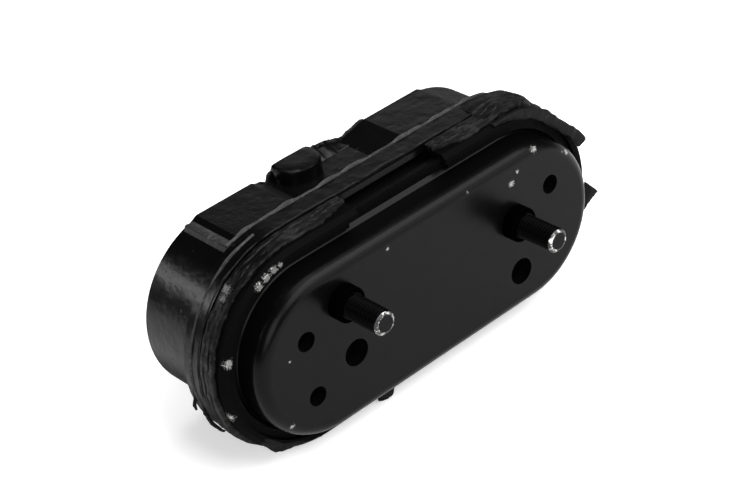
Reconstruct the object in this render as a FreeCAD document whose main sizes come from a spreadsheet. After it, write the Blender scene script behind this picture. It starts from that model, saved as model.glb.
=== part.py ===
"""Interlocking engine mount: two obround steel shells joined by rubber and held together by a clinched ring.

Frame, in millimetres: the origin is the centre of the front cup's flat face. +X runs along the mount, +Y runs
back from the front face to the rear plate, and +Z is up with the mount standing on its long side.
"Depth" always means the distance back from the front face, along +Y.
"""
import FreeCAD, Part
import math
import os

import Sketcher
from FreeCAD import Vector

SIZES = {
    # outline shared by every shell: a stadium, two half circles joined by straight sides
    "half_straight": 52.0,
    # front cup, pressed from sheet
    "cup_radius": 34.5,
    "cup_sheet": 2.5,
    "cup_edge_round": 4.7,
    "cup_depth": 15.0,
    "cup_bend": 1.5,
    "cup_flange_width": 6.3,
    # clinched ring that holds both shells
    "flange_clearance": 0.5,
    "ring_wall": 2.2,
    "ring_lip_reach": 1.8,
    "ring_corner_bevel": 1.8,
    "notch_left": 23.0,
    "notch_right": 22.0,
    "notch_length": 12.0,
    "notch_inset": 4.0,
    # rubber skin on the ring's front half
    "skin_thickness": 1.3,
    "skin_setback": 6.0,
    "split_gap": 0.3,
    # rear can, pressed from sheet
    "can_step": 1.0,
    "can_sheet": 2.5,
    "can_edge_bevel": 3.0,
    "can_length": 38.0,
    "seat_gap": 0.2,
    # moulded jacket over the rear can and the ring's rear half
    "jacket_wall": 4.9,
    "jacket_setback": 0.8,
    "jacket_edge_bevel": 1.4,
    "collar_wall": 1.6,
    "collar_bevel": 2.5,
    "land_rise": 0.6,
    "land_left_start": 31.0,
    "land_right_start": 28.0,
    "land_left_overrun": 6.0,
    "land_right_overrun": 5.0,
    "land_bevel": 5.0,
    "land_drop": 2.6,
    "land_root": 2.5,
    "recess_depth": 3.2,
    "recess_left_end": 24.0,
    "recess_right_end": 14.0,
    "boss_radius": 10.3,
    "boss_offset": 10.4,
    "boss_setback": 3.5,
    "boss_rise": 5.6,
    "boss_root": 0.9,
    "boss_edge_bevel": 1.8,
    # rubber between the shells
    "waist_length": 10.8,
    "waist_clearance": 4.3,
    "rebound_thickness": 2.3,
    "rebound_gap": 0.2,
    "rebound_notch_gap": 3.0,
    # studs and the collars pressed over the front ones
    "stud_radius": 5.0,
    "stud_reach": 23.4,
    "stud_chamfer": 0.9,
    "stud_shank_radius": 5.4,
    "stud_head_radius": 9.5,
    "stud_head_height": 3.5,
    "collar_radius": 7.1,
    "collar_height": 5.0,
    "collar_chamfer": 0.6,
    "front_left_inset": 7.9,
    "front_left_up": 18.7,
    "front_right_inset": 7.7,
    "front_right_up": 6.2,
    "rear_left_inset": 7.8,
    "rear_left_up": 0.0,
    "rear_right_inset": 7.8,
    "rear_right_up": 0.0,
    # locating and vent holes through the front cup, placed from the centres of its rounded ends
    "large_hole_radius": 5.6,
    "small_hole_radius": 4.0,
    "hole_recess": 5.0,
    "large_left_inset": 10.2,
    "large_left_up": -6.2,
    "large_right_inset": 7.2,
    "large_right_up": -17.7,
    "small_left_top_inset": -11.3,
    "small_left_top_up": 11.4,
    "small_left_low_inset": -10.6,
    "small_left_low_up": -14.0,
    "small_right_top_inset": -13.0,
    "small_right_top_up": 12.7,
    "small_right_low_inset": -12.4,
    "small_right_low_up": -13.6,
    # strip of skin peeled forward off the ring's front lip
    "strip_overhang": 0.9,
    "strip_inset": 0.5,
    "strip_thickness": 1.8,
    "strip_start_angle": 22.0,
    "strip_sweep_angle": 66.0,
}

STUDS_FRONT = ("front_left", "front_right")
STUDS_REAR = ("rear_left", "rear_right")
LARGE_HOLES = ("large_left", "large_right")
SMALL_HOLES = ("small_left_top", "small_left_low", "small_right_top", "small_right_low")
TOLERANCE = 1e-4

doc = FreeCAD.newDocument("EngineMount")
sheet = doc.addObject("Spreadsheet::Sheet", "Sizes")
for row, (alias, value) in enumerate(SIZES.items(), start=1):
    sheet.set(f"A{row}", alias)
    sheet.set(f"B{row}", str(value))
    sheet.setAlias(f"B{row}", alias)
doc.recompute()
parts = []


# ---------------------------------------------------------------- expressions and sketches

def cells(expression):
    """The expression with the sheet's name put before each bare alias in it."""
    return " ".join("Sizes." + word if word[0].isalpha() else word for word in expression.split())


def value_of(expression):
    """The number that a sum or difference of bare aliases gives."""
    total = 0.0
    sign = 1.0
    for word in expression.split():
        if word in "+-":
            sign = 1.0 if word == "+" else -1.0
        else:
            total += sign * (float(sheet.get(word)) if word[0].isalpha() else float(word))
    return total


def difference(first, second):
    """One sum or difference of aliases less another, without brackets."""
    return f"{first} - {second.translate(str.maketrans('+-', '-+'))}"


def negative(expression):
    return difference("0", expression)


def new_body(name):
    body = doc.addObject("PartDesign::Body", name)
    body.Label = name
    parts.append(body)
    return body


def new_sketch(body, name, role, offset):
    """A sketch on one of the body's origin planes, moved off it by an expression: along +Y from XZ_Plane,
    and along the plane's own normal from the others."""
    plane = next(f for f in body.Origin.OriginFeatures if f.Role == role)
    sketch = body.newObject("Sketcher::SketchObject", f"{body.Name}_{name}")
    sketch.AttachmentSupport = [(plane, "")]
    sketch.MapMode = "FlatFace"
    text = cells(offset)
    sketch.setExpression("AttachmentOffset.Base.z", f"-({text})" if role == "XZ_Plane" else text)
    return sketch


def bind(sketch, name, expression, *constraint):
    """Adds a named dimension that takes its value from the sheet."""
    index = sketch.addConstraint(Sketcher.Constraint(*constraint, value_of(expression)))
    sketch.renameConstraint(index, name)
    sketch.setExpression("Constraints." + name, cells(expression))


def draw_stadium(sketch, radius):
    """Two half circles joined by tangent straight sides, centred on the sketch's origin."""
    a = value_of("half_straight")
    r = value_of(radius)
    top = sketch.GeometryCount
    right = top + 1
    bottom = top + 2
    left = top + 3
    normal = Vector(0, 0, 1)
    sketch.addGeometry(Part.LineSegment(Vector(-a, r, 0), Vector(a, r, 0)))
    sketch.addGeometry(Part.ArcOfCircle(Part.Circle(Vector(a, 0, 0), normal, r), -math.pi / 2, math.pi / 2))
    sketch.addGeometry(Part.LineSegment(Vector(a, -r, 0), Vector(-a, -r, 0)))
    sketch.addGeometry(Part.ArcOfCircle(Part.Circle(Vector(-a, 0, 0), normal, r), math.pi / 2, math.pi * 1.5))
    sketch.addConstraint([
        Sketcher.Constraint("Tangent", top, 2, right, 2),
        Sketcher.Constraint("Tangent", right, 1, bottom, 1),
        Sketcher.Constraint("Tangent", bottom, 2, left, 2),
        Sketcher.Constraint("Tangent", left, 1, top, 1),
        Sketcher.Constraint("Symmetric", right, 3, left, 3, -1, 1),
        Sketcher.Constraint("PointOnObject", right, 3, -1),
        Sketcher.Constraint("Equal", right, left),
    ])
    bind(sketch, "straight", "half_straight + half_straight", "DistanceX", left, 3, right, 3)
    bind(sketch, "radius", radius, "Radius", right)


def draw_circle(sketch, name, radius, across, up):
    """A circle whose centre is placed from the sketch's origin by two expressions."""
    x = value_of(across)
    y = value_of(up)
    centre = Vector(x, y, 0)
    circle = sketch.addGeometry(Part.Circle(centre, Vector(0, 0, 1), value_of(radius)))
    bind(sketch, name + "_radius", radius, "Radius", circle)
    bind(sketch, name + "_across", across, "DistanceX", -1, 1, circle, 3)
    bind(sketch, name + "_up", up, "DistanceY", -1, 1, circle, 3)


def draw_polygon(sketch, name, corners):
    """A closed run of straight lines whose corners are each placed by two expressions."""
    points = [Vector(value_of(across), value_of(up), 0) for across, up in corners]
    first = sketch.GeometryCount
    count = len(points)
    for i in range(count):
        sketch.addGeometry(Part.LineSegment(points[i], points[(i + 1) % count]))
    for i in range(count):
        sketch.addConstraint(Sketcher.Constraint("Coincident", first + i, 2, first + (i + 1) % count, 1))
    for i, (across, up) in enumerate(corners):
        bind(sketch, f"{name}_across{i}", across, "DistanceX", -1, 1, first + i, 1)
        bind(sketch, f"{name}_up{i}", up, "DistanceY", -1, 1, first + i, 1)


# ---------------------------------------------------------------- features

def extrude(body, kind, sketch, length, forward=False):
    """A pad or pocket of the sketch. Pads grow, and pockets cut, towards +Y unless forward is set."""
    feature = body.newObject("PartDesign::" + kind, f"{sketch.Name}_{kind.lower()}")
    feature.Profile = sketch
    feature.setExpression("Length", cells(length))
    feature.Reversed = (kind == "Pad") != forward
    sketch.Visibility = False
    doc.recompute()
    return feature


def stadium_step(body, kind, name, radius, front, back):
    """Pads or cuts a stadium from one depth to another."""
    sketch = new_sketch(body, name, "XZ_Plane", front)
    draw_stadium(sketch, radius)
    before = body.Shape.Volume if body.Tip else 0.0
    feature = extrude(body, kind, sketch, difference(back, front))
    check_changed(feature, before, kind)
    return feature


def check_changed(feature, before, kind):
    after = feature.Shape.Volume
    if kind == "Pad" and after <= before or kind == "Pocket" and after >= before:
        raise RuntimeError(f"{feature.Name} left the volume at {after:.1f}, from {before:.1f}")


def level_edges(feature, axis, level):
    """Names of the edges that lie at one level of an axis."""
    at = value_of(level)
    names = []
    for i, edge in enumerate(feature.Shape.Edges, start=1):
        low = getattr(edge.BoundBox, axis + "Min")
        high = getattr(edge.BoundBox, axis + "Max")
        if abs(low - at) < TOLERANCE and abs(high - at) < TOLERANCE:
            names.append(f"Edge{i}")
    return names


def rim_edges(feature, depth, radius):
    """Names of the edges of the stadium of one radius that lies at one depth."""
    r = value_of(radius)
    names = []
    for name in level_edges(feature, "Y", depth):
        box = feature.Shape.getElement(name).BoundBox
        if abs(max(abs(box.ZMin), abs(box.ZMax)) - r) < TOLERANCE:
            names.append(name)
    if not names:
        raise RuntimeError(f"{feature.Name} has no edge of radius {r} at depth {value_of(depth)}")
    return names


def dress(body, kind, name, edges, amount):
    """A fillet or chamfer on the named edges of the body's last feature."""
    base = body.Tip
    feature = body.newObject("PartDesign::" + kind, f"{body.Name}_{name}")
    feature.Base = (base, edges)
    feature.setExpression("Radius" if kind == "Fillet" else "Size", cells(amount))
    doc.recompute()
    return feature


def dress_rim(body, kind, name, depth, radius, amount):
    return dress(body, kind, name, rim_edges(body.Tip, depth, radius), amount)


def across_of(name):
    """Place along X of a stud or hole, from the centre of the rounded end on its own side."""
    return f"0 - half_straight + {name}_inset" if "left" in name else f"half_straight - {name}_inset"


def drill(body, name, holes, radius, depth, length):
    """Round holes cut towards +Y from one depth, each at its own named place."""
    sketch = new_sketch(body, name, "XZ_Plane", depth)
    for hole in holes:
        draw_circle(sketch, hole, radius, across_of(hole), hole + "_up")
    before = body.Shape.Volume
    feature = extrude(body, "Pocket", sketch, length)
    check_changed(feature, before, "Pocket")


def cut_rectangles(body, name, front, back, rectangles):
    """Cuts away upright rectangles, each given by the expressions of its left, right, low and high sides."""
    sketch = new_sketch(body, name, "XZ_Plane", front)
    for i, (left, right, low, high) in enumerate(rectangles):
        draw_polygon(sketch, f"cut{i}", ((left, low), (right, low), (right, high), (left, high)))
    before = body.Shape.Volume
    feature = extrude(body, "Pocket", sketch, difference(back, front))
    check_changed(feature, before, "Pocket")


def revolve(body, corners):
    """Turns a profile about the body's own Y axis: each corner gives its radius and its depth."""
    sketch = new_sketch(body, "profile", "XY_Plane", "0")
    draw_polygon(sketch, "corner", corners)
    feature = body.newObject("PartDesign::Revolution", body.Name + "_turn")
    feature.Profile = sketch
    feature.ReferenceAxis = (sketch, ["V_Axis"])
    feature.Angle = 360
    sketch.Visibility = False
    doc.recompute()


def place_at(body, name):
    """Moves a turned body to the place of the stud of this name."""
    body.setExpression("Placement.Base.x", cells(across_of(name)))
    body.setExpression("Placement.Base.z", cells(name + "_up"))


# ---------------------------------------------------------------- depths and radii that several pieces share

CUP_BORE = "cup_radius - cup_sheet"
CUP_FLANGE_RADIUS = "cup_radius + cup_flange_width"
CUP_BACK = "cup_depth + cup_sheet"
RING_BORE = CUP_FLANGE_RADIUS + " + flange_clearance"
RING_RADIUS = RING_BORE + " + ring_wall"
RING_FRONT = "cup_depth - rebound_thickness - ring_wall"
NOTCH_BACK = RING_FRONT + " + notch_length"
SKIN_RADIUS = RING_RADIUS + " + skin_thickness"
SEATED_RADIUS = RING_BORE + " - seat_gap"
CAN_FRONT = CUP_BACK + " + waist_length"
CAN_FLANGE_BACK = CAN_FRONT + " + can_sheet"
RING_BACK = CAN_FLANGE_BACK + " + ring_wall"
CAN_RADIUS = "cup_radius - can_step"
CAN_BORE = CAN_RADIUS + " - can_sheet"
CAN_BACK = CAN_FRONT + " + can_length"
CAN_FLOOR = CAN_BACK + " - can_sheet"
JACKET_RADIUS = CAN_RADIUS + " + jacket_wall"
JACKET_BACK = CAN_BACK + " - jacket_setback"
BEYOND_RIM = SKIN_RADIUS + " + collar_wall"
BEYOND_END = BEYOND_RIM + " + half_straight"


# ---------------------------------------------------------------- steel pieces

def make_front_cup():
    body = new_body("front_cup")
    stadium_step(body, "Pad", "wall", "cup_radius", "0", CUP_BACK)
    stadium_step(body, "Pad", "flange", CUP_FLANGE_RADIUS, "cup_depth", CUP_BACK)
    stadium_step(body, "Pocket", "hollow", CUP_BORE, "cup_sheet", CUP_BACK)
    dress_rim(body, "Fillet", "edge_round", "0", "cup_radius", "cup_edge_round")
    dress_rim(body, "Chamfer", "bevel_inside", "cup_sheet", CUP_BORE, "cup_edge_round - cup_sheet")
    dress_rim(body, "Chamfer", "flange_bend", "cup_depth", "cup_radius", "cup_bend")
    drill(body, "stud_holes", STUDS_FRONT, "collar_radius", "0", "cup_sheet")
    drill(body, "large_holes", LARGE_HOLES, "large_hole_radius", "0", "cup_sheet")
    drill(body, "small_holes", SMALL_HOLES, "small_hole_radius", "0", "cup_sheet")


def make_rear_can():
    body = new_body("rear_can")
    stadium_step(body, "Pad", "wall", CAN_RADIUS, CAN_FRONT, CAN_BACK)
    stadium_step(body, "Pad", "flange", SEATED_RADIUS, CAN_FRONT, CAN_FLANGE_BACK)
    stadium_step(body, "Pocket", "hollow", CAN_BORE, CAN_FRONT, CAN_FLOOR)
    dress_rim(body, "Chamfer", "edge_bevel", CAN_BACK, CAN_RADIUS, "can_edge_bevel")
    dress_rim(body, "Chamfer", "bevel_inside", CAN_FLOOR, CAN_BORE, "can_edge_bevel - can_sheet")
    drill(body, "stud_holes", STUDS_REAR, "stud_shank_radius", CAN_FLOOR, "can_sheet")


def make_clinch_ring():
    body = new_body("clinch_ring")
    front_wall = RING_FRONT + " + ring_wall"
    stadium_step(body, "Pad", "wall", RING_RADIUS, RING_FRONT, RING_BACK)
    stadium_step(body, "Pocket", "hollow", RING_BORE, front_wall, CAN_FLANGE_BACK)
    stadium_step(body, "Pocket", "front_mouth", RING_BORE + " - ring_lip_reach", RING_FRONT, front_wall)
    stadium_step(body, "Pocket", "rear_mouth", CAN_RADIUS + " + seat_gap", CAN_FLANGE_BACK, RING_BACK)
    dress_rim(body, "Chamfer", "front_bevel", RING_FRONT, RING_RADIUS, "ring_corner_bevel")
    dress_rim(body, "Chamfer", "rear_bevel", RING_BACK, RING_RADIUS, "ring_corner_bevel")
    inside = RING_BORE + " - notch_inset"
    cut_rectangles(body, "notches", RING_FRONT, NOTCH_BACK, (
        ("0 - notch_left", "notch_right", inside, BEYOND_RIM),
        ("0 - notch_left", "notch_right", negative(BEYOND_RIM), negative(inside)),
    ))


def make_stud(name, seat, shank_end, tip, facing):
    """A headed stud whose head lies against a plate's inside face, at the depth seat. Its plain shank ends at one
    depth and its threaded length at another. It points towards -Y when facing is "-", and else towards +Y."""
    inward = "+" if facing == "-" else "-"
    head = f"{seat} {inward} stud_head_height"
    body = new_body(name + "_stud")
    revolve(body, (
        ("0", head),
        ("stud_head_radius", head),
        ("stud_head_radius", seat),
        ("stud_shank_radius", seat),
        ("stud_shank_radius", shank_end),
        ("stud_radius", shank_end),
        ("stud_radius", f"{tip} {inward} stud_chamfer"),
        ("stud_radius - stud_chamfer", tip),
        ("0", tip),
    ))
    place_at(body, name)


def make_stud_collar(name):
    """The plain sleeve on a front stud's shank. It comes through the cup's sheet from the stud's head."""
    body = new_body(name + "_collar")
    revolve(body, (
        ("stud_shank_radius", "cup_sheet"),
        ("collar_radius", "cup_sheet"),
        ("collar_radius", "0 - collar_height + collar_chamfer"),
        ("collar_radius - collar_chamfer", "0 - collar_height"),
        ("stud_shank_radius", "0 - collar_height"),
    ))
    place_at(body, name)


# ---------------------------------------------------------------- rubber pieces

def make_end_band(name, side, outer, inner, front, back, gap):
    """A rubber band round one end of the mount. It stops short of the notch by the gap, above and below."""
    body = new_body(f"{name}_{side}")
    stadium_step(body, "Pad", "outside", outer, front, back)
    stadium_step(body, "Pocket", "inside", inner, front, back)
    if side == "left":
        span = (f"0 - notch_left - {gap}", BEYOND_END)
    else:
        span = (negative(BEYOND_END), f"notch_right + {gap}")
    cut_rectangles(body, "other_side", front, back, ((*span, negative(BEYOND_RIM), BEYOND_RIM),))


def make_rubber_core():
    body = new_body("rubber_core")
    stadium_step(body, "Pad", "in_cup", CUP_BORE, "cup_sheet", CUP_BACK)
    stadium_step(body, "Pad", "waist", RING_BORE + " - waist_clearance", CUP_BACK, CAN_FRONT)
    stadium_step(body, "Pad", "in_can", CAN_BORE, CAN_FRONT, CAN_FLOOR)
    dress_rim(body, "Chamfer", "front_bevel", "cup_sheet", CUP_BORE, "cup_edge_round - cup_sheet")
    dress_rim(body, "Chamfer", "rear_bevel", CAN_FLOOR, CAN_BORE, "can_edge_bevel - can_sheet")
    drill(body, "front_heads", STUDS_FRONT, "stud_head_radius", "cup_sheet", "stud_head_height")
    drill(body, "rear_heads", STUDS_REAR, "stud_head_radius", f"{CAN_FLOOR} - stud_head_height",
          "stud_head_height")
    drill(body, "large_recesses", LARGE_HOLES, "large_hole_radius", "cup_sheet", "hole_recess")
    drill(body, "small_recesses", SMALL_HOLES, "small_hole_radius", "cup_sheet", "hole_recess")


def draw_lands(sketch, name, low):
    """The raised lands beside the recess, above the centre line or, when low is set, below it."""
    rise = JACKET_RADIUS + " + land_rise"
    floor = JACKET_RADIUS + " - recess_depth"
    shoulder = rise + " - land_drop"
    root = shoulder + " - land_root"
    left_end = "0 - half_straight - land_left_overrun"
    right_end = "half_straight + land_right_overrun"
    outline = (
        (left_end + " - land_bevel", shoulder),
        (left_end, rise),
        ("0 - land_left_start", rise),
        ("0 - recess_left_end", floor),
        ("recess_right_end", floor),
        ("land_right_start", rise),
        (right_end, rise),
        (right_end + " + land_bevel", shoulder),
        (right_end + " + land_bevel", root),
        (left_end + " - land_bevel", root),
    )
    draw_polygon(sketch, name, [(across, negative(up) if low else up) for across, up in outline])


def make_rubber_jacket():
    body = new_body("rubber_jacket")
    stadium_step(body, "Pad", "sleeve", JACKET_RADIUS, RING_BACK, JACKET_BACK)
    floor = JACKET_RADIUS + " - recess_depth"
    cut_rectangles(body, "recess", RING_BACK, JACKET_BACK, (
        ("0 - land_left_start", "land_right_start", floor, BEYOND_RIM),
        ("0 - land_left_start", "land_right_start", negative(BEYOND_RIM), negative(floor)),
    ))
    sketch = new_sketch(body, "lands", "XZ_Plane", RING_BACK)
    draw_lands(sketch, "top", False)
    draw_lands(sketch, "low", True)
    extrude(body, "Pad", sketch, difference(JACKET_BACK, RING_BACK))
    dress(body, "Chamfer", "back_bevel", level_edges(body.Tip, "Y", JACKET_BACK), "jacket_edge_bevel")
    collar_front = NOTCH_BACK + " + split_gap"
    collar_back = RING_BACK + " + collar_wall"
    stadium_step(body, "Pad", "collar", SKIN_RADIUS, collar_front, collar_back)
    dress_rim(body, "Chamfer", "collar_bevel", collar_back, SKIN_RADIUS, "collar_bevel")
    stadium_step(body, "Pocket", "ring_room", RING_RADIUS, collar_front, RING_BACK)
    stadium_step(body, "Pocket", "can_room", CAN_RADIUS, RING_BACK, JACKET_BACK)
    make_boss(body, "top_boss", False)
    make_boss(body, "low_boss", True)
    cut_rectangles(body, "flush_back", JACKET_BACK, JACKET_BACK + " + boss_radius",
                   ((negative(BEYOND_END), BEYOND_END, negative(BEYOND_RIM), BEYOND_RIM),))


def make_boss(body, name, low):
    """A round boss that stands on the floor of the recess and is cut flush with the jacket's back."""
    foot = JACKET_RADIUS + " - recess_depth - boss_root"
    crown = JACKET_RADIUS + " - recess_depth + boss_rise"
    sketch = new_sketch(body, name, "XY_Plane", negative(foot) if low else foot)
    draw_circle(sketch, name, "boss_radius", "0 - boss_offset", JACKET_BACK + " - boss_setback")
    feature = body.newObject("PartDesign::Pad", f"{body.Name}_{name}_pad")
    feature.Profile = sketch
    feature.setExpression("Length", cells("boss_root + boss_rise"))
    feature.Reversed = low
    sketch.Visibility = False
    doc.recompute()
    dress(body, "Chamfer", name + "_bevel", level_edges(feature, "Z", negative(crown) if low else crown),
          "boss_edge_bevel")


def make_torn_strip():
    """The strip of skin that has peeled off the front lip round the upper right end."""
    body = new_body("torn_strip")
    outside = RING_RADIUS + " + strip_overhang"
    inside = RING_BORE + " - ring_lip_reach + strip_inset"
    sketch = new_sketch(body, "sector", "XZ_Plane", RING_FRONT + " - strip_thickness")
    centre = Vector(value_of("half_straight"), 0, 0)
    normal = Vector(0, 0, 1)
    first = math.radians(value_of("strip_start_angle"))
    last = first + math.radians(value_of("strip_sweep_angle"))
    arcs = [Part.ArcOfCircle(Part.Circle(centre, normal, value_of(r)), first, last)
            for r in (outside, inside)]
    outer = sketch.addGeometry(arcs[0])
    inner = sketch.addGeometry(arcs[1])
    start = sketch.addGeometry(Part.LineSegment(arcs[1].StartPoint, arcs[0].StartPoint))
    end = sketch.addGeometry(Part.LineSegment(arcs[1].EndPoint, arcs[0].EndPoint))
    sketch.addConstraint([
        Sketcher.Constraint("Coincident", outer, 3, inner, 3),
        Sketcher.Constraint("PointOnObject", outer, 3, -1),
        Sketcher.Constraint("Coincident", start, 1, inner, 1),
        Sketcher.Constraint("Coincident", start, 2, outer, 1),
        Sketcher.Constraint("Coincident", end, 1, inner, 2),
        Sketcher.Constraint("Coincident", end, 2, outer, 2),
        Sketcher.Constraint("PointOnObject", outer, 3, start),
        Sketcher.Constraint("PointOnObject", outer, 3, end),
    ])
    bind(sketch, "centre_across", "half_straight", "DistanceX", -1, 1, outer, 3)
    bind(sketch, "outer_radius", outside, "Radius", outer)
    bind(sketch, "inner_radius", inside, "Radius", inner)
    for name, line, angle in (("first", start, "strip_start_angle"),
                              ("last", end, "strip_start_angle + strip_sweep_angle")):
        index = sketch.addConstraint(Sketcher.Constraint("Angle", line, math.radians(value_of(angle))))
        sketch.renameConstraint(index, name)
        sketch.setExpression("Constraints." + name, f"({cells(angle)}) * 1 deg")
    extrude(body, "Pad", sketch, "strip_thickness")


# ---------------------------------------------------------------- the whole mount

make_front_cup()
make_rear_can()
make_clinch_ring()
for stud in STUDS_FRONT:
    make_stud(stud, "cup_sheet", "0 - collar_height", "0 - stud_reach", "-")
    make_stud_collar(stud)
for stud in STUDS_REAR:
    make_stud(stud, CAN_FLOOR, CAN_BACK, CAN_BACK + " + stud_reach", "+")
make_rubber_core()
for end in ("left", "right"):
    make_end_band("rebound_pad", end, SEATED_RADIUS, "cup_radius + cup_bend + rebound_gap",
                  "cup_depth - rebound_thickness", "cup_depth", "rebound_notch_gap")
    make_end_band("band_skin", end, SKIN_RADIUS, RING_RADIUS, RING_FRONT + " + skin_setback",
                  NOTCH_BACK, "0")
make_rubber_jacket()
make_torn_strip()
doc.recompute()

for item in doc.Objects:
    if "Invalid" in item.State or "Error" in item.State:
        raise RuntimeError(f"{item.Name} failed: {item.State}")
os.makedirs("parts", exist_ok=True)
for part in parts:
    if part.Shape.isNull() or not part.Shape.isValid() or not part.Shape.Solids:
        raise RuntimeError(f"{part.Label} has no valid solid")
for part in parts:
    part.Shape.exportStep(f"parts/{part.Label}.step")
    print(f"{part.Label}: {len(part.Shape.Solids)} solid, {part.Shape.Volume / 1000:.2f} cm3")
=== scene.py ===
"""Looks of the engine mount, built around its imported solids. Metres, +Z up, front face towards -Y."""
import math

import bpy
from mathutils import Matrix, Vector, noise


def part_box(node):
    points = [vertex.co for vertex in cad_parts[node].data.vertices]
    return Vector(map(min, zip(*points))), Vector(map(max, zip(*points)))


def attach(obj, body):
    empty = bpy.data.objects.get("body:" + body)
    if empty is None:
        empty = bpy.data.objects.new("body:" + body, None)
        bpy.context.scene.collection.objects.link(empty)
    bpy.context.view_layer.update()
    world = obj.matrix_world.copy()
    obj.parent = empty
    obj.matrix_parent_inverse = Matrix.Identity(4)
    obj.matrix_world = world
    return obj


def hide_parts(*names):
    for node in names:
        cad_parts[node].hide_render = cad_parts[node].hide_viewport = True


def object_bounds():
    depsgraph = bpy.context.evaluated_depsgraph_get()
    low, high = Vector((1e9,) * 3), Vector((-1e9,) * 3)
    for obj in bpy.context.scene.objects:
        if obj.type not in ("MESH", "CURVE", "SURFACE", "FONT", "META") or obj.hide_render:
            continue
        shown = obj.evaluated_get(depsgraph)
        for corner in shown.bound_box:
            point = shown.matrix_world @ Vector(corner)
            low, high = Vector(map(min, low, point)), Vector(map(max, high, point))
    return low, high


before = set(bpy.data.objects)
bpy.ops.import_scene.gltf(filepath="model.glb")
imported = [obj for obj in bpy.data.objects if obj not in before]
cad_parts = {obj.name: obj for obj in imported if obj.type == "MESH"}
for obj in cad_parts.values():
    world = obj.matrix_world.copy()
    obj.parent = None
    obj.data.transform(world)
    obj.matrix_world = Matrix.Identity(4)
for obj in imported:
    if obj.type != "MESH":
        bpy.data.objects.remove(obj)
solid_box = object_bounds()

MM = 0.001
BODY = "root"
NOISE_SEED = 7
noise.seed_set(NOISE_SEED)  # without a seed the noise would change from run to run

# ---- sizes in millimetres, first those that the solids give

ring_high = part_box("clinch_ring")[1]
skin_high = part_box("band_skin_left")[1]
jacket_low, jacket_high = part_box("rubber_jacket")

RING_RADIUS = ring_high.z / MM
HALF_STRAIGHT = (ring_high.x - ring_high.z) / MM
HALF_TURN = math.pi * RING_RADIUS
LAP = 2 * HALF_TURN + 4 * HALF_STRAIGHT
SKIN_BACK = skin_high.y / MM
NOTCH_LEFT = skin_high.x / MM
NOTCH_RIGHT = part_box("band_skin_right")[0].x / MM
COLLAR_RADIUS = jacket_high.z / MM
COLLAR_FRONT = jacket_low.y / MM
JACKET_BACK = jacket_high.y / MM

RIDGE_FRONT = 35.2
RIDGE_BACK = JACKET_BACK - 2.5
RIDGE_STEPS = 24

BOSS_X = -10.4
BOSS_DEPTH = JACKET_BACK - 3.5
BOSS_CORNERS = 48
# (height, radius of the straight front side, radius of the round back side) from the jacket up
BOSS_RINGS = ((35.6, 10.45, 10.3), (39.0, 10.45, 10.2), (40.4, 10.45, 8.9), (40.7, 10.25, 8.6),
              (40.88, 8.6, 7.8), (40.94, 6.0, 5.5), (40.98, 3.0, 3.0))

THREAD_RADIUS = 5.0
THREAD_ROOT = 4.15
THREAD_PITCH = 1.5
THREAD_START = 0.3
RINGS_PER_PITCH = 8
SHANK_RADIUS = THREAD_RADIUS + 0.3
STUD_CHAMFER = 0.9
BRIGHT_LENGTH = STUD_CHAMFER + 0.25
DULL_RADIUS = 3.5
HEAD_THICKNESS = 3.5
STUD_CORNERS = 44
FRONT_THREAD = 18.0
REAR_THREAD = 22.5


# ---- places: a lap round the rim is measured from the middle of the top edge, towards +X

def along_top(x):
    return x % LAP


def along_bottom(x):
    return 2 * HALF_STRAIGHT + HALF_TURN - x


def along_right(degrees):
    return HALF_STRAIGHT + math.radians(90 - degrees) * RING_RADIUS


def along_left(degrees):
    return 3 * HALF_STRAIGHT + HALF_TURN + math.radians(-90 - degrees) * RING_RADIUS


def rim_point(along, radius, depth):
    """The point that lies so far round the rim, so far out from its middle line and so far back."""
    along %= LAP
    if along <= HALF_STRAIGHT:
        return Vector((along, depth, radius))
    if along < HALF_STRAIGHT + HALF_TURN:
        angle = math.pi / 2 - (along - HALF_STRAIGHT) / RING_RADIUS
        return Vector((HALF_STRAIGHT + radius * math.cos(angle), depth, radius * math.sin(angle)))
    if along <= 3 * HALF_STRAIGHT + HALF_TURN:
        return Vector((2 * HALF_STRAIGHT + HALF_TURN - along, depth, -radius))
    if along < LAP - HALF_STRAIGHT:
        angle = -math.pi / 2 - (along - 3 * HALF_STRAIGHT - HALF_TURN) / RING_RADIUS
        return Vector((radius * math.cos(angle) - HALF_STRAIGHT, depth, radius * math.sin(angle)))
    return Vector((along - LAP, depth, radius))


def between(keys, at):
    """The values that a list of (place, values...) has at a place, in straight steps."""
    if at <= keys[0][0]:
        return keys[0][1:]
    for first, second in zip(keys, keys[1:]):
        if at <= second[0]:
            share = (at - first[0]) / (second[0] - first[0])
            return [a + (b - a) * share for a, b in zip(first[1:], second[1:])]
    return keys[-1][1:]


def lumps(point, size, amount, seed):
    """A smooth push in any direction for a point; size is how far apart the lumps are."""
    return noise.noise_vector(point / size + Vector((seed, 2 * seed, 3 * seed))) * amount


def ragged(at, size, amount, seed):
    """A smooth rise or fall along an edge; size is how far apart the waves are."""
    return noise.noise(Vector((at / size, seed * 7.3, seed * 1.9))) * amount


# ---- meshes

def add_piece(name, points, faces, material, sharp=35):
    data = bpy.data.meshes.new(name)
    data.from_pydata([point * MM for point in points], [], faces)
    data.materials.append(material)
    data.polygons.foreach_set("use_smooth", [True] * len(data.polygons))
    data.set_sharp_from_angle(angle=math.radians(sharp))
    piece = bpy.data.objects.new(name, data)
    bpy.context.scene.collection.objects.link(piece)
    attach(piece, BODY)
    return piece


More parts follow.
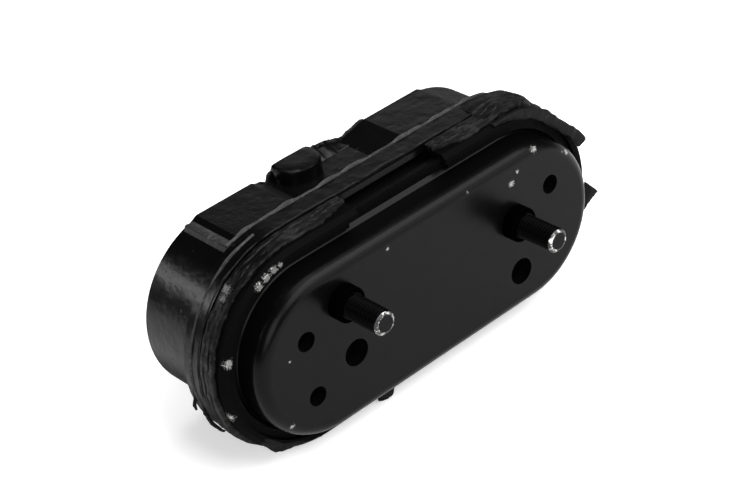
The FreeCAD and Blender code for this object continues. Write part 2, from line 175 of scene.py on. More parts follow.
def loft(name, sections, material, sharp=35):
    """A closed skin over a row of sections that have the same number of corners, with flat ends."""
    corners = len(sections[0])
    points = [point for section in sections for point in section]
    faces = [tuple(range(corners))]
    for near in range(0, len(points) - corners, corners):
        far = near + corners
        for corner in range(corners):
            after = (corner + 1) % corners
            faces.append((near + after, near + corner, far + corner, far + after))
    faces.append(tuple(range(len(points) - 1, len(points) - 1 - corners, -1)))
    return add_piece(name, points, faces, material, sharp)


def sweep(name, begin, end, section, material, step, lump, seed):
    """Rubber with a closed section carried along the rim. section(along) gives its corners as
    (radius, depth), and lump is the size and amount of its lumps."""
    if end < begin:
        end += LAP
    stations = max(3, round((end - begin) / step))
    sections = []
    for index in range(stations + 1):
        along = begin + (end - begin) * index / stations
        points = [rim_point(along, radius, depth) for radius, depth in section(along)]
        sections.append([point + lumps(point, *lump, seed) for point in points])
    return loft(name, sections, material)


def make_leaf(name, places, material, thickness, rough, seed):
    """A ragged leaf of rubber, thicker in the middle, with its corners at (along, radius, depth) places."""
    edge_steps = 5
    layers = ((0.02, 0.55), (0.45, 0.5), (0.8, 0.4), (1.0, 0.15), (1.0, -0.15), (0.8, -0.4), (0.02, -0.5))
    corners = [rim_point(*place) for place in places]
    outline = []
    for first, second in zip(corners, corners[1:] + corners[:1]):
        for step in range(edge_steps):
            point = first.lerp(second, step / edge_steps)
            outline.append(point + lumps(point, 1.4, rough, seed))
    centre = sum(outline, Vector()) / len(outline)
    normal = sum((a.cross(b) for a, b in zip(outline, outline[1:] + outline[:1])), Vector()).normalized()
    sections = []
    for scale, lift in layers:
        bumpy = 0.25 * min(1, scale * 2)
        ring = [centre + (point - centre) * scale for point in outline]
        sections.append([point + normal * lift * thickness + lumps(point, 1.8, bumpy, seed + 5)
                         for point in ring])
    return loft(name, sections, material, 50)


def make_strand(name, places, material, radii, seed):
    """A thin torn thread of rubber along a short path of (along, radius, depth) places."""
    turns = (0, 1.05, 2.1, 3.14, 4.2, 5.25)
    steps_between = 4
    path = [rim_point(*place) for place in places]
    sections = []
    for index in range(steps_between * (len(path) - 1) + 1):
        at = index / steps_between
        first = min(int(at), len(path) - 2)
        point = path[first].lerp(path[first + 1], at - first)
        radius = radii[first] + (radii[first + 1] - radii[first]) * (at - first)
        point = point + lumps(point, 2.5, 0.5, seed)
        ring = []
        for turn in turns:
            spoke = Vector((radius * math.cos(turn), 0.7 * radius * math.sin(turn), 0.2 * radius))
            ring.append(point + spoke * (1 + 0.3 * noise.noise(Vector((index, turn, seed)))))
        sections.append(ring)
    return loft(name, sections, material, 60)


# ---- rubber round the rim

def crack(along, share, place_wave, depth_wave, seed):
    """Where a wandering crack lies, as a share of the band's width, and how open it is, 0 to 1."""
    place = share + 0.9 * ragged(along, place_wave, 0.1, seed)
    return place, min(1.0, max(0.0, 0.5 + ragged(along, depth_wave, 1.6, seed + 2)))


def skin_section(front_keys, thick_keys, seed):
    """The torn band of rubber on the ring: a wandering front edge, rolled shoulders and two cracks."""
    def section(along):
        front = between(front_keys, along)[0]
        front += ragged(along, 2.2, 0.5, seed) + ragged(along, 7, 0.6, seed + 3)
        thick = between(thick_keys, along)[0] + ragged(along, 5, 0.25, seed + 6)
        back = SKIN_BACK - 0.2 + ragged(along, 4, 0.25, seed + 9)
        inner = RING_RADIUS - 0.25
        outer = inner + max(0.35, thick)
        deepest = min(0.9, outer - inner - 0.1)
        share, opened = crack(along, 0.34, 9, 6, seed + 13)
        first_at = front + (back - front) * share
        first_floor = outer - deepest * opened
        share, opened = crack(along, 0.68, 7, 5, seed + 14)
        second_at = front + (back - front) * share
        second_floor = outer - deepest * opened
        return [(inner, front + 0.1), (inner + 0.5 * (outer - inner), front),
                (outer - 0.15, front + 0.35), (outer, front + 0.9),
                (outer + ragged(along, 3, 0.15, seed + 11), first_at - 0.55),
                (first_floor, first_at), (outer + 0.1, first_at + 0.4),
                (outer + ragged(along, 3, 0.2, seed + 12), second_at - 0.5), (second_floor, second_at),
                (outer + 0.05, second_at + 0.45), (outer, back - 0.7),
                (outer - 0.2, back - 0.25), (inner + 0.4 * (outer - inner), back), (inner, back)]
    return section


def make_left_skin(material):
    """From the lower notch round the left end to the upper notch."""
    begin = along_bottom(NOTCH_LEFT)
    end = along_top(NOTCH_LEFT)
    fronts = [(begin, 16.5), (begin + 20, 15), (along_left(-110), 13.5), (along_left(-180), 14.5),
              (along_left(-230), 15.0), (along_left(-262), 14.0), (end - 14, 13.5), (end - 5, 15.5),
              (end, 17.5)]
    thicks = [(begin, 1.4), (along_left(-92), 1.0), (along_left(-110), 0.5), (along_left(-135), 0.9),
              (along_left(-150), 2.4), (along_left(-175), 2.0), (along_left(-240), 1.6), (end, 1.6)]
    section = skin_section(fronts, thicks, 2.0)
    piece = sweep("torn_skin_left", begin, end, section, material, step=0.8, lump=(6, 0.25), seed=1)
    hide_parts("band_skin_left")


def make_right_skin(material):
    """From the upper notch round the right end to the lower notch, torn away where it turns down."""
    begin = along_top(NOTCH_RIGHT)
    end = along_bottom(NOTCH_RIGHT)
    fronts = [(begin, 17.2), (begin + 3, 15.0), (begin + 14, 12.8), (along_right(85), 13.2),
              (along_right(60), 14.5), (along_right(40), 18.5), (along_right(0), 18.0),
              (along_right(-60), 16.0), (end, 16.5)]
    thicks = [(begin, 1.6), (along_right(95), 1.9), (along_right(84), 3.6), (along_right(70), 4.6),
              (along_right(64), 3.4), (along_right(61), 1.6), (along_right(52), 1.9),
              (along_right(46), 0.7), (along_right(40), 0.4), (along_right(-20), 0.9),
              (along_right(-60), 1.5), (end, 1.4)]
    section = skin_section(fronts, thicks, 5.0)
    piece = sweep("torn_skin_right", begin, end, section, material, step=0.8, lump=(6, 0.25), seed=1)
    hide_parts("band_skin_right")


def make_torn_strip(material):
    """The strip that has come off the lip at the right end and stands out at its tip."""
    # (place, inner radius, outer radius, front, back)
    rows = [(along_right(94), 42.9, 44.2, 10.9, 12.6), (along_right(88), 42.2, 44.7, 10.2, 13.0),
            (along_right(74), 41.2, 45.4, 9.6, 12.6), (along_right(66), 40.6, 45.8, 9.2, 12.2),
            (along_right(56), 39.6, 45.0, 8.8, 11.6), (along_right(48), 39.0, 43.6, 8.2, 10.8),
            (along_right(39), 38.9, 43.6, 7.4, 9.8), (along_right(32), 39.6, 44.2, 6.8, 9.0),
            (along_right(26), 39.6, 45.2, 6.4, 8.4), (along_right(22.5), 39.9, 45.4, 6.2, 8.0)]

    def section(along):
        inner, outer, front, back = between(rows, along)
        inner += ragged(along, 3, 0.4, 21)
        outer += ragged(along, 2.4, 0.3, 22)
        middle = (inner + outer) / 2
        return [(inner, front + 0.9), (inner + 0.5, front + 0.35), (middle - 0.6, front + 0.1),
                (middle + 0.8, front), (outer - 0.6, front + 0.2), (outer, front + 0.7),
                (outer - 0.1, back - 0.4), (middle, back), (inner + 0.3, back - 0.3)]
    piece = sweep("torn_lip_strip", rows[0][0], rows[-1][0], section, material, step=0.7, lump=(3, 0.35),
                  seed=4)
    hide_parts("torn_strip")


def make_flaps(material):
    """Three leaves of torn rubber: at the right end, below the left end and under the middle."""
    right = [(along_right(-6), 41.6, 9.5), (along_right(-8), 43.4, 8.2), (along_right(-13), 48.2, 7.6),
             (along_right(-17), 45.4, 8.4), (along_right(-25), 42.2, 9.6)]
    low_left = [(along_left(-96), 42.6, 11.5), (along_left(-108), 42.4, 11.3),
                (along_left(-120), 43.6, 11.0), (along_left(-127), 44.6, 11.0),
                (along_left(-138), 43.2, 11.2), (along_left(-143), 40.6, 11.2),
                (along_left(-122), 40.8, 11.0)]
    low_middle = [(along_bottom(-27), 40.5, 10.6), (along_bottom(-27), 43.9, 11.4),
                  (along_bottom(-23), 45.4, 11.6), (along_bottom(-19.5), 44.9, 11.8),
                  (along_bottom(-18.5), 40.5, 11.2)]
    make_leaf("right_flap", right, material, thickness=1.6, rough=0.3, seed=11)
    make_leaf("low_left_flap", low_left, material, thickness=1.8, rough=0.45, seed=12)
    make_leaf("low_middle_flap", low_middle, material, thickness=2.6, rough=0.3, seed=13)


def make_threads(material):
    """Two threads of torn rubber that curl off the left end."""
    upper = [(along_left(-178), 43.5, 30), (along_left(-170), 44.4, 30), (along_left(-166), 46.4, 30),
             (along_left(-163), 46.9, 30)]
    lower = [(along_left(-168), 44.0, 27), (along_left(-161), 45.6, 27), (along_left(-153), 46.4, 27),
             (along_left(-145), 46.2, 26)]
    make_strand("left_thread", upper, material, radii=(1.2, 1.0, 0.9, 0.5), seed=14)
    make_strand("low_left_thread", lower, material, radii=(0.5, 0.8, 0.9, 0.7), seed=15)


# ---- relief on the jacket

def make_rolled_edges(highlight_material, plain_material):
    """Thin rolled edges of rubber along the collar, broken where the rubber has rubbed away. Each is sunk a
    little into it, so far behind its front. The back and middle ones get the paler rubber of a painted
    highlight."""
    def roll(name, begin, end, sunk, behind, size, seed, material):
        radius = COLLAR_RADIUS - sunk

        def section(along):
            high = size * (0.75 + ragged(along, 7, 0.9, seed))
            at = COLLAR_FRONT + behind + ragged(along, 11, 0.5, seed + 1)
            return [(radius - 0.6, at - 0.75 * size), (radius + 0.45 * high, at - 0.5 * size),
                    (radius + high, at), (radius + 0.45 * high, at + 0.45 * size),
                    (radius - 0.6, at + 0.7 * size)]
        sweep(name, begin, end, section, material, step=0.9, lump=(4, 0.15), seed=seed)

    # painted highlight: the back and middle rolls take the paler rubber that stands for the light they
    # catch
    roll("collar_back_roll", along_left(-250), along_right(20), 0.2, 10.4, 1.3, 41, highlight_material)
    roll("collar_middle_roll", along_left(-166), along_left(-262), 0.1, 5.2, 1.0, 44, highlight_material)
    roll("collar_front_roll", along_left(-150), along_top(34), 0.2, 0.8, 0.7, 47, plain_material)


def make_collar_swell(material):
    """The collar's rubber stands out further where the right end begins to turn down."""
    low = COLLAR_RADIUS - 0.4
    keys = [(along_right(94), 44.9), (along_right(88), 46.0), (along_right(78), 47.1),
            (along_right(66), 47.4), (along_right(56), 46.6), (along_right(48), 44.9)]

    def section(along):
        outer = between(keys, along)[0] + ragged(along, 5, 0.3, 61)
        rise = outer - low
        outline = ((low, -1.0), (low + 0.6 * rise, -0.5), (outer, 0.8), (outer + 0.1, 3.2),
                   (outer - 0.3, 6.0), (low + 0.5 * rise, 8.2), (low, 9.2))
        return [(radius, COLLAR_FRONT + behind) for radius, behind in outline]
    sweep("collar_swell", keys[0][0], keys[-1][0], section, material, step=0.9, lump=(5, 0.25), seed=6)


def make_back_flash(material):
    """Ragged mould flash that stands along the back edge of the jacket, above the recess."""
    back = JACKET_BACK - 0.1
    by_boss = [(0.2, 39.4), (1.2, 39.9), (3.0, 39.2), (6.0, 39.4), (9.0, 38.4), (13.0, 37.4),
               (16.5, 36.6), (18.5, 37.4), (22.0, 38.4), (25.0, 39.0), (28.0, 39.3)]
    left_of_boss = [(-30.0, 38.0), (-26.0, 36.9), (-23.6, 35.8), (-22.4, 38.6), (-21.0, 39.2),
                    (-19.5, 38.4)]
    for name, run, floor, tops in (("flash_by_boss", 7.5, 34.5, by_boss),
                                   ("flash_left_of_boss", 2.2, 34.0, left_of_boss)):
        begin = tops[0][0]
        end = tops[-1][0]
        steps = round((end - begin) / 0.5)
        sections = []
        for index in range(steps + 1):
            x = begin + (end - begin) * index / steps
            top = between(tops, x)[0] + ragged(x, 0.9, 0.45, 31)
            lean = ragged(x, 3, 0.6, 32)
            outline = ((back - run, floor), (back - 0.88 * run, floor + 0.9),
                       (back - 1.3 + lean, top - 1.9), (back - 0.9 + lean, top - 0.6),
                       (back - 0.4 + lean, top), (back, top - 0.5), (back, floor))
            sections.append([Vector((x, depth, height)) for depth, height in outline])
        loft(name, sections, material)


def make_end_ridge(material):
    """The moulded ridge below the left land: it leans towards the land and drops steeply outwards."""
    sections = []
    for index in range(RIDGE_STEPS + 1):
        depth = RIDGE_FRONT + (RIDGE_BACK - RIDGE_FRONT) * index / RIDGE_STEPS
        wear = ragged(depth, 5, 0.08, 51)
        outline = ((-57.8, 36.0), (-58.6, 37.5), (-61.4, 37.9 + 0.4 * wear), (-64.0, 38.25 + wear),
                   (-64.7, 37.9), (-65.6, 35.4), (-62.0, 34.5))
        sections.append([Vector((x, depth, height)) for x, height in outline])
    loft("end_ridge", sections, material)


def make_boss_cap(material):
    """The boss on the jacket's back edge: a straight side in front, and rounded back corners."""
    sections = []
    for height, front_radius, back_radius in BOSS_RINGS:
        ring = []
        for turn in range(BOSS_CORNERS):
            angle = 2 * math.pi * turn / BOSS_CORNERS
            frontness = (0.5 - 0.5 * math.sin(angle)) ** 0.6
            radius = back_radius + (front_radius - back_radius) * frontness
            depth = min(BOSS_DEPTH + radius * math.sin(angle), JACKET_BACK - 0.05)
            ring.append(Vector((BOSS_X + radius * math.cos(angle), depth, height)))
        sections.append([point + lumps(point, 4, 0.08, 71) for point in ring])
    loft("boss_cap", sections, material, 50)


# ---- threaded studs

def thread_radius(distance, angle, thread_end):
    """The radius of a stud so far from its tip: chamfer, screw thread, then the plain shank."""
    if distance >= thread_end:
        return SHANK_RADIUS
    phase = (distance / THREAD_PITCH - angle / (2 * math.pi)) % 1
    crest = min(1.0, max(0.0, 1.35 * abs(2 * phase - 1) - 0.12))
    radius = THREAD_ROOT + (THREAD_RADIUS - THREAD_ROOT) * crest
    return min(radius, THREAD_RADIUS - STUD_CHAMFER + distance)


def stud_rows(thread_length, length, head_radius):
    """A stud's rings of points as (distance from the tip, radius), with no radius on the thread."""
    rows = [(0.0, DULL_RADIUS), (0.0, THREAD_RADIUS - STUD_CHAMFER)]
    distance = THREAD_START
    while distance < thread_length:
        rows.append((distance, None))
        distance += THREAD_PITCH / RINGS_PER_PITCH
    head_face = length - HEAD_THICKNESS
    return rows + [(thread_length, None), (head_face, SHANK_RADIUS), (head_face, head_radius),
                   (length, head_radius)]


def stud_faces(rows):
    """The faces over those rings and the flat ends, and each one's finish: 0 dark, 1 dull, 2 bright."""
    faces = []
    finishes = []
    last = len(rows) * STUD_CORNERS + 1
    for turn in range(STUD_CORNERS):
        after = (turn + 1) % STUD_CORNERS
        faces.append((0, 1 + turn, 1 + after))
        finishes.append(1)
        faces.append((last, last - STUD_CORNERS + after, last - STUD_CORNERS + turn))
        finishes.append(0)
    for row in range(len(rows) - 1):
        near = 1 + row * STUD_CORNERS
        far = near + STUD_CORNERS
        for turn in range(STUD_CORNERS):
            after = (turn + 1) % STUD_CORNERS
            faces.append((near + turn, far + turn, far + after, near + after))
            finishes.append(2 if rows[row + 1][0] <= BRIGHT_LENGTH else 0)
    return faces, finishes


def make_stud(node, facing, thread_length, dark, dull, bright):
    """A stud with a rolled thread, a bright chamfer rubbed to bare steel and a flat head, in place of the
    plain one.
    """
    low, high = (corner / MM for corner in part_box(node))
    middle = (low + high) / 2
    tip = low.y if facing < 0 else high.y
    length = high.y - low.y
    rows = stud_rows(thread_length, length, (high.x - low.x) / 2)
    points = [Vector((middle.x, tip, middle.z))]
    for distance, fixed in rows:
        for turn in range(STUD_CORNERS):
            angle = 2 * math.pi * turn / STUD_CORNERS
            radius = fixed if fixed is not None else thread_radius(distance, angle, thread_length)
            points.append(Vector((middle.x + radius * math.cos(angle), tip - facing * distance,
                                  middle.z + radius * math.sin(angle))))
    points.append(Vector((middle.x, tip - facing * length, middle.z)))
    faces, finishes = stud_faces(rows)
    if facing > 0:
        faces = [tuple(reversed(face)) for face in faces]
    piece = add_piece("threaded_" + node, points, faces, dark, 50)
    piece.data.materials.append(dull)
    piece.data.materials.append(bright)
    piece.data.polygons.foreach_set("material_index", finishes)
    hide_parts(node)


# ---- shader nodes

def feed(tree, socket, value):
    """Gives an input another node's output, or a plain value."""
    if isinstance(value, bpy.types.NodeSocket):
        tree.links.new(value, socket)
    else:
        socket.default_value = value


def add_node(tree, kind, settings=None, **inputs):
    """A shader node. Its inputs are given by number, as i0 or i1, or by name, with _ for a space."""
    node = tree.nodes.new(kind)
    for name, value in (settings or {}).items():
        setattr(node, name, value)
    for name, value in inputs.items():
        numbered = name[0] == "i" and name[1:].isdigit()
        feed(tree, node.inputs[int(name[1:]) if numbered else name.replace("_", " ")], value)
    return node


def add_group(tree, group, **inputs):
    node = tree.nodes.new("ShaderNodeGroup")
    node.node_tree = group
    for name, value in inputs.items():
        feed(tree, node.inputs[name.replace("_", " ")], value)
    return node.outputs[0]


def maths(tree, operation, first, second, clamp=False):
    settings = {"operation": operation, "use_clamp": clamp}
    return add_node(tree, "ShaderNodeMath", settings, i0=first, i1=second).outputs[0]


def vector_maths(tree, operation, first, second):
    return add_node(tree, "ShaderNodeVectorMath", {"operation": operation}, i0=first, i1=second)


def smooth_step(tree, value, low, high):
    return add_node(tree, "ShaderNodeMapRange", {"interpolation_type": "SMOOTHSTEP"},
                    Value=value, From_Min=low, From_Max=high).outputs["Result"]


def blend_values(tree, share, first, second):
    mix = add_node(tree, "ShaderNodeMix", {"data_type": "FLOAT"}, Factor=share)
    mix.inputs["A"].default_value = first
    mix.inputs["B"].default_value = second
    return mix.outputs["Result"]


def blend_colours(tree, share, first, second):
    """A mix of two colours; the first may be another node's output."""
    mix = add_node(tree, "ShaderNodeMix", {"data_type": "RGBA"}, i0=share)
    feed(tree, mix.inputs[6], first if isinstance(first, bpy.types.NodeSocket) else (*first, 1))
    mix.inputs[7].default_value = (*second, 1)
    return mix.outputs[2]


def new_group(name, inputs, outputs):
    """An empty node group with vector, v, or float, f, sockets, and its two ends."""
    tree = bpy.data.node_groups.new(name, "ShaderNodeTree")
    kinds = {"v": "NodeSocketVector", "f": "NodeSocketFloat"}
    for label, kind in inputs:
        tree.interface.new_socket(label, in_out="INPUT", socket_type=kinds[kind])
    for label, kind in outputs:
        tree.interface.new_socket(label, in_out="OUTPUT", socket_type=kinds[kind])
    return tree, tree.nodes.new("NodeGroupInput").outputs, tree.nodes.new("NodeGroupOutput").inputs


def make_relief_group():
    """Fine grain and soft dents as one height in millimetres."""
    inputs = [("Place", "v"), ("Grain Size", "f"), ("Grain", "f"), ("Dent Size", "f"), ("Dent", "f")]
    tree, given, wanted = new_group("surface_relief", inputs, [("Height", "f")])
    parts = []
    for size, amount, detail in (("Grain Size", "Grain", 3.0), ("Dent Size", "Dent", 2.0)):
        scale = maths(tree, "DIVIDE", 1.0, given[size])
        texture = add_node(tree, "ShaderNodeTexNoise", Vector=given["Place"], Scale=scale, Detail=detail)
        parts.append(maths(tree, "MULTIPLY", texture.outputs["Fac"], given[amount]))
    tree.links.new(maths(tree, "ADD", parts[0], parts[1]), wanted["Height"])
    return tree


def make_chip_group():
    """A ragged spot where the finish has gone, 0 to 1, added to the spots so far."""
    inputs = [("Place", "v"), ("Centre", "v"), ("Size", "f"), ("So Far", "f")]
    tree, given, wanted = new_group("chip_spot", inputs, [("Mask", "f")])
    offset = vector_maths(tree, "DISTANCE", given["Place"], given["Centre"])
    share = maths(tree, "DIVIDE", offset.outputs["Value"], given["Size"])
    grain = add_node(tree, "ShaderNodeTexNoise", Vector=given["Place"], Scale=1400.0, Detail=4.0,
                     Roughness=0.7)
    level = maths(tree, "SUBTRACT", maths(tree, "MULTIPLY", grain.outputs["Fac"], 2.2), share)
    spot = smooth_step(tree, level, 0.5, 0.85)
    tree.links.new(maths(tree, "MAXIMUM", spot, given["So Far"]), wanted["Mask"])
    return tree


def make_scratch_group():
    """Thin broken marks that run mostly along one direction, 0 to 1."""
    inputs = [("Place", "v"), ("Stretch", "v"), ("Share", "f")]
    tree, given, wanted = new_group("scratch_marks", inputs, [("Mask", "f")])
    placed = vector_maths(tree, "MULTIPLY", given["Place"], given["Stretch"])
    fine = add_node(tree, "ShaderNodeTexNoise", Vector=placed.outputs[0], Scale=1000.0, Detail=4.0,
                    Roughness=0.65)
    patch = add_node(tree, "ShaderNodeTexNoise", Vector=given["Place"], Scale=90.0, Detail=2.0)
    level = maths(tree, "ADD", fine.outputs["Fac"], maths(tree, "MULTIPLY", patch.outputs["Fac"], 0.5))
    low = maths(tree, "SUBTRACT", 1.06, given["Share"])
    high = maths(tree, "ADD", low, 0.12)
    tree.links.new(smooth_step(tree, level, low, high), wanted["Mask"])
    return tree


relief_group = make_relief_group()
chip_group = make_chip_group()
scratch_group = make_scratch_group()


def add_spots(tree, place, spots):
    """The mask of several spots where the finish has gone, each given as its centre and its size in
    millimetres.
    """
    mask = 0.0
    for centre, size in spots:
        mask = add_group(tree, chip_group, Place=place, Centre=Vector(centre) * MM, Size=size * MM,
                         So_Far=mask)
    return mask


def start_material(name):
    material = bpy.data.materials.new(name)
    material.use_nodes = True
    tree = material.node_tree
    place = tree.nodes.new("ShaderNodeTexCoord").outputs["Object"]
    return material, tree, tree.nodes["Principled BSDF"], place


def set_bump(tree, shader, height):
    bump = add_node(tree, "ShaderNodeBump", Height=height, Distance=MM)
    tree.links.new(bump.outputs["Normal"], shader.inputs["Normal"])


def grey(level):
    return (level, level, level)


# ---- finishes of the steel

CHIP_COLOUR = (0.3, 0.3, 0.29)
CHIP_ROUGHNESS = 0.4
CHIP_DEPTH = 0.08
# painted light: the ring is painted paler grey between these two edges of the notch, for the light on its
# face there
NOTCH_LIGHT_GREY = grey(0.013)
NOTCH_LIGHT_FROM = (-0.023, -0.018)
NOTCH_LIGHT_TO = (0.015, 0.019)
STAIN_COLOUR = grey(0.05)


def painted_steel(name, chips, colour, specular, roughness, paint_notch_light=False):
    """Black coating with a faint orange peel, chipped to bare steel, and, if asked, painted paler grey
    across the notch: painted light for the light that the ring's face catches there.
    """
    material, tree, shader, place = start_material(name)
    mask = add_spots(tree, place, chips)
    peel = add_group(tree, relief_group, Place=place, Grain_Size=0.0012, Grain=0.03, Dent_Size=0.02,
                     Dent=0.12)
    ground = colour
    if paint_notch_light:
        # painted light: paler grey across the notch stands for the light that the ring's face catches there
        across = add_node(tree, "ShaderNodeSeparateXYZ", Vector=place).outputs["X"]
        notch_light_share = maths(tree, "SUBTRACT", smooth_step(tree, across, *NOTCH_LIGHT_FROM),
                     smooth_step(tree, across, *NOTCH_LIGHT_TO), clamp=True)
        ground = blend_colours(tree, notch_light_share, colour, NOTCH_LIGHT_GREY)
    shader.inputs["Specular IOR Level"].default_value = specular
    tree.links.new(blend_colours(tree, mask, ground, CHIP_COLOUR), shader.inputs["Base Color"])
    tree.links.new(blend_values(tree, mask, roughness, CHIP_ROUGHNESS), shader.inputs["Roughness"])
    tree.links.new(mask, shader.inputs["Metallic"])
    set_bump(tree, shader, maths(tree, "SUBTRACT", peel, maths(tree, "MULTIPLY", mask, CHIP_DEPTH)))
    return material


def coated_steel():
    """Cup and can: semi-matt, chipped along the rim and near the studs."""
    chips = [((-20, 0, 28.5), 1.5), ((-20.4, 0, 33.4), 1.0), ((44.7, 0, 23.3), 2.6), ((48.5, 0, 27), 1.5),
             ((59, 1, 31.5), 2.6), ((73.7, 1, 22.9), 1.2), ((-72, 0, 7.6), 1.0), ((22.2, 0.5, 30.9), 1.0),
             ((-76.2, 0.3, -20), 2.0), ((76.2, 0.8, 21.5), 2.2)]
    return painted_steel("coated_steel", chips, grey(0.0012), specular=0.085, roughness=0.28)


def coated_ring():
    """Clinched ring: duller, with a row of chips on its upper left lip, and painted light across the notch.
    """
    chips = [((-71.5, 10.5, 36), 3.0), ((-67.5, 10.5, 37.6), 3.2), ((-64, 10.5, 38.8), 3.0),
             ((-61, 10.5, 39.6), 2.0), ((-93.5, 13, -10), 3.6), ((-91, 10.8, 13), 3.4),
             ((-81, 20.5, 34.5), 4.2)]
    return painted_steel("coated_ring", chips, grey(0.0012), specular=0.02, roughness=0.6, paint_notch_light=True)


def stud_finish(name, colour, metallic, roughness, grain, specular=0.5, stain=0.0):
    """Turned steel with a fine grain, and dark stains over a share of it if asked."""
    material, tree, shader, place = start_material(name)
    height = add_group(tree, relief_group, Place=place, Grain_Size=0.0005, Grain=grain, Dent_Size=0.002,
                       Dent=grain)
    if stain:
        marks = add_group(tree, scratch_group, Place=place, Stretch=grey(0.5), Share=stain)
        tree.links.new(blend_colours(tree, marks, colour, STAIN_COLOUR), shader.inputs["Base Color"])
    else:
        shader.inputs["Base Color"].default_value = (*colour, 1)
    shader.inputs["Metallic"].default_value = metallic
    shader.inputs["Roughness"].default_value = roughness
    shader.inputs["Specular IOR Level"].default_value = specular
    set_bump(tree, shader, height)
    return material


def dark_phosphate():
    return stud_finish("dark_phosphate", grey(0.0005), 0.0, roughness=0.3, grain=0.02, specular=0.02)


def dull_end():
    return stud_finish("dull_end", grey(0.004), 0.0, roughness=0.4, grain=0.1, specular=0.05)


def bare_end():
    return stud_finish("bare_end", (0.72, 0.71, 0.69), 1.0, roughness=0.34, grain=0.2, stain=0.43)


def dark_collar():
    return stud_finish("dark_collar", grey(0.0004), 0.0, roughness=0.6, grain=0.03, specular=0.0)


# ---- finishes of the rubber

SCUFF_DEPTH = 0.06
SCUFF_ROUGHNESS = 0.62
PATCH_COLOUR = grey(0.1)


def rubber(name, colour, roughness, specular, grain, dent, stretch, share, rubbed, patches=()):
    """Black rubber, paler and rougher where it is scuffed, and duller at a glancing angle."""
    material, tree, shader, place = start_material(name)
    marks = add_group(tree, scratch_group, Place=place, Stretch=stretch, Share=share)
    height = add_group(tree, relief_group, Place=place, Grain_Size=0.0012, Grain=grain, Dent_Size=0.006,
                       Dent=dent)
    ground = blend_colours(tree, marks, colour, rubbed)
    if patches:
        ground = blend_colours(tree, add_spots(tree, place, patches), ground, PATCH_COLOUR)
    tree.links.new(ground, shader.inputs["Base Color"])
    facing = tree.nodes.new("ShaderNodeLayerWeight").outputs["Facing"]
    glancing = maths(tree, "MULTIPLY", smooth_step(tree, facing, 0.55, 0.9), 0.5)
    scuffed = blend_values(tree, marks, roughness, SCUFF_ROUGHNESS)
    tree.links.new(maths(tree, "ADD", scuffed, glancing, clamp=True), shader.inputs["Roughness"])
    shader.inputs["Specular IOR Level"].default_value = specular
    set_bump(tree, shader, maths(tree, "SUBTRACT", height, maths(tree, "MULTIPLY", marks, SCUFF_DEPTH)))
    return material


def torn_rubber():
    """Skin over the ring: coarse, scuffed along the lap, and rubbed pale at the upper left."""
    patches = [((-79.5, 20, 35.5), 4.2), ((-81.5, 19.5, 32.5), 3.6)]
    return rubber("torn_rubber", grey(0.001), roughness=0.42, specular=0.12, grain=0.1, dent=0.6,
                  stretch=(0.2, 0.8, 0.5), share=0.26, rubbed=grey(0.014), patches=patches)


def moulded_rubber():
    """Jacket: smooth with a soft sheen."""
    return rubber("moulded_rubber", grey(0.001), roughness=0.28, specular=0.15, grain=0.03, dent=0.25,
                  stretch=(0.3, 0.6, 0.6), share=0.14, rubbed=grey(0.009))


def shredded_rubber():
    """Strip, flaps and threads: rough where it has torn."""
    return rubber("shredded_rubber", grey(0.001), roughness=0.6, specular=0.12, grain=0.12, dent=0.5,
                  stretch=grey(0.4), share=0.2, rubbed=grey(0.01))


def edge_highlight_rubber():
    """Edges that stand out, in a paler grey that is a painted highlight for the light they catch, with
    paler scuffs.
    """
    return rubber("edge_highlight_rubber", grey(0.016), roughness=0.4, specular=0.2, grain=0.08, dent=0.3,
                  stretch=(0.3, 0.5, 0.5), share=0.3, rubbed=grey(0.04))


def core_rubber():
    """Core and rebound pads: matt."""
    return rubber("core_rubber", grey(0.001), roughness=0.7, specular=0.05, grain=0.05, dent=0.2,
                  stretch=grey(1), share=0.05, rubbed=grey(0.004))


def finish_nodes(material, *names):
    """Gives CAD nodes that stay as they are their material."""
    for name in names:
        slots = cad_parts[name].data.materials
        slots.clear()
        slots.append(material)


# ---- camera, stage and light

CAMERA_AZIMUTH = math.radians(-37.34)
CAMERA_ELEVATION = math.radians(33.09)
CAMERA_ROLL = math.radians(-9.15)
CAMERA_RIGHT = -23.04
CAMERA_UP = 14.03
CAMERA_BACK = 760.8
SENSOR_WIDTH = 36
LENS = 95.85

FLOOR_SIZE = 6
FLOOR_COLOUR = 0.86
FLOOR_GLOW = 0.38
# how the painted shade that reflections see on the floor fades out around the mount
FLOOR_ACROSS = 0.55
FLOOR_NEAR = 0.05
FLOOR_OPEN = 0.2
WORLD_GLOW = 0.03

# name, place, width, height in metres, watts
SOFTBOXES = (("key", (0.3, -0.65, 0.95), 1.4, 0.9, 22),
             ("overhead", (0.2, 0.0, 1.25), 1.2, 0.9, 10),
             ("front_low", (0.75, -1.2, 0.4), 1.2, 0.6, 6.5),
             ("front_left", (-1.0, -0.9, 0.75), 0.9, 0.9, 11),
             ("back_right", (1.36, 1.36, 0.68), 1.25, 0.72, 2.4),
             ("rear_left", (-0.8, 0.85, 0.5), 0.4, 0.22, 3.2))


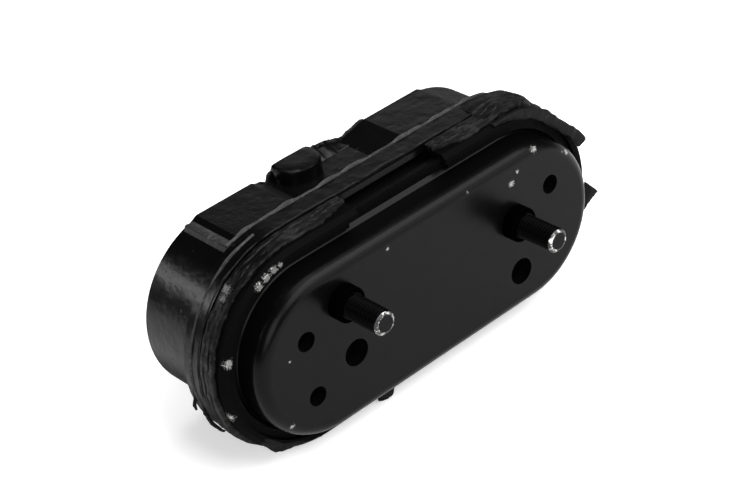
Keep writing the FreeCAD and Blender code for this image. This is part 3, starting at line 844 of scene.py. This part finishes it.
def make_camera():
    """A long lens above the near left end, rolled a little so that the mount seems to lean back."""
    back = Vector((math.sin(CAMERA_AZIMUTH) * math.cos(CAMERA_ELEVATION),
                   -math.cos(CAMERA_AZIMUTH) * math.cos(CAMERA_ELEVATION), math.sin(CAMERA_ELEVATION)))
    level = Vector((math.cos(CAMERA_AZIMUTH), math.sin(CAMERA_AZIMUTH), 0))
    upright = back.cross(level)
    right = math.cos(CAMERA_ROLL) * level + math.sin(CAMERA_ROLL) * upright
    up = math.cos(CAMERA_ROLL) * upright - math.sin(CAMERA_ROLL) * level
    place = (CAMERA_RIGHT * right + CAMERA_UP * up + CAMERA_BACK * back) * MM
    data = bpy.data.cameras.new("camera")
    data.sensor_width = SENSOR_WIDTH
    data.lens = LENS
    camera = bpy.data.objects.new("camera", data)
    camera.matrix_world = Matrix.Translation(place) @ Matrix((right, up, back)).transposed().to_4x4()
    bpy.context.scene.collection.objects.link(camera)
    bpy.context.scene.camera = camera


def floor_finish():
    """White to the eye and, away from the mount, in polished metal, with the mount's shadow kept. Near the
    mount the glow is left out of reflections, a painted shade for the floor under it.
    """
    material, tree, shader, place = start_material("floor")
    shader.inputs["Base Color"].default_value = (*grey(FLOOR_COLOUR), 1)
    shader.inputs["Roughness"].default_value = 0.9
    shader.inputs["Specular IOR Level"].default_value = 0.0
    path = tree.nodes.new("ShaderNodeLightPath").outputs
    seen = maths(tree, "MAXIMUM", path["Is Camera Ray"], path["Is Transmission Ray"])
    # painted shade: reflections lose the floor's glow near the mount, for the shade under it
    squeezed = vector_maths(tree, "MULTIPLY", place, (FLOOR_ACROSS, 1.0, 0.0)).outputs[0]
    apart = vector_maths(tree, "DISTANCE", squeezed, (0.0, JACKET_BACK * MM / 2, 0.0)).outputs["Value"]
    glow_beyond_painted_shade = smooth_step(tree, apart, FLOOR_NEAR, FLOOR_OPEN)
    seen = maths(tree, "MAXIMUM", seen, maths(tree, "MULTIPLY", path["Is Glossy Ray"], glow_beyond_painted_shade))
    shader.inputs["Emission Color"].default_value = (1, 1, 1, 1)
    tree.links.new(maths(tree, "MULTIPLY", seen, FLOOR_GLOW), shader.inputs["Emission Strength"])
    return material


def make_floor():
    bpy.ops.mesh.primitive_plane_add(size=FLOOR_SIZE, location=(0, 0, solid_box[0].z))
    floor = bpy.context.object
    floor.name = "floor"
    floor.data.materials.append(floor_finish())


def make_world():
    world = bpy.data.worlds.new("studio")
    bpy.context.scene.world = world
    world.use_nodes = True
    background = world.node_tree.nodes["Background"]
    background.inputs["Color"].default_value = (1, 1, 1, 1)
    background.inputs["Strength"].default_value = WORLD_GLOW


def make_lamps():
    """Soft boxes that all face the middle of the mount's front."""
    for name, place, width, height, watts in SOFTBOXES:
        data = bpy.data.lights.new(name, "AREA")
        data.shape = "RECTANGLE"
        data.size = width
        data.size_y = height
        data.energy = watts
        lamp = bpy.data.objects.new(name, data)
        lamp.location = place
        lamp.rotation_euler = (-Vector(place)).to_track_quat("-Z", "Y").to_euler()
        bpy.context.scene.collection.objects.link(lamp)


# ---- the mount in its studio

make_camera()
make_floor()
make_world()
make_lamps()

coat = coated_steel()
ring_coat = coated_ring()
skin = torn_rubber()
jacket = moulded_rubber()
shreds = shredded_rubber()
# painted highlight: paler rubber for the rolled edges and the end ridge, for the light that they catch
edge_highlight = edge_highlight_rubber()
core = core_rubber()
stud_dark = dark_phosphate()
stud_dull = dull_end()
stud_bright = bare_end()
collar_dark = dark_collar()

finish_nodes(coat, "front_cup", "rear_can")
finish_nodes(ring_coat, "clinch_ring")
finish_nodes(core, "rubber_core", "rebound_pad_left", "rebound_pad_right")
finish_nodes(jacket, "rubber_jacket")
finish_nodes(collar_dark, "front_left_collar", "front_right_collar")
make_left_skin(skin)
make_right_skin(skin)
make_torn_strip(shreds)
make_flaps(shreds)
make_threads(shreds)
make_rolled_edges(edge_highlight, skin)
make_collar_swell(skin)
make_back_flash(jacket)
make_end_ridge(edge_highlight)
make_boss_cap(jacket)
for stud in ("front_left_stud", "front_right_stud"):
    make_stud(stud, -1, FRONT_THREAD, stud_dark, stud_dull, stud_bright)
for stud in ("rear_left_stud", "rear_right_stud"):
    make_stud(stud, 1, REAR_THREAD, stud_dark, stud_dull, stud_bright)

bpy.context.scene.view_settings.view_transform = "Standard"
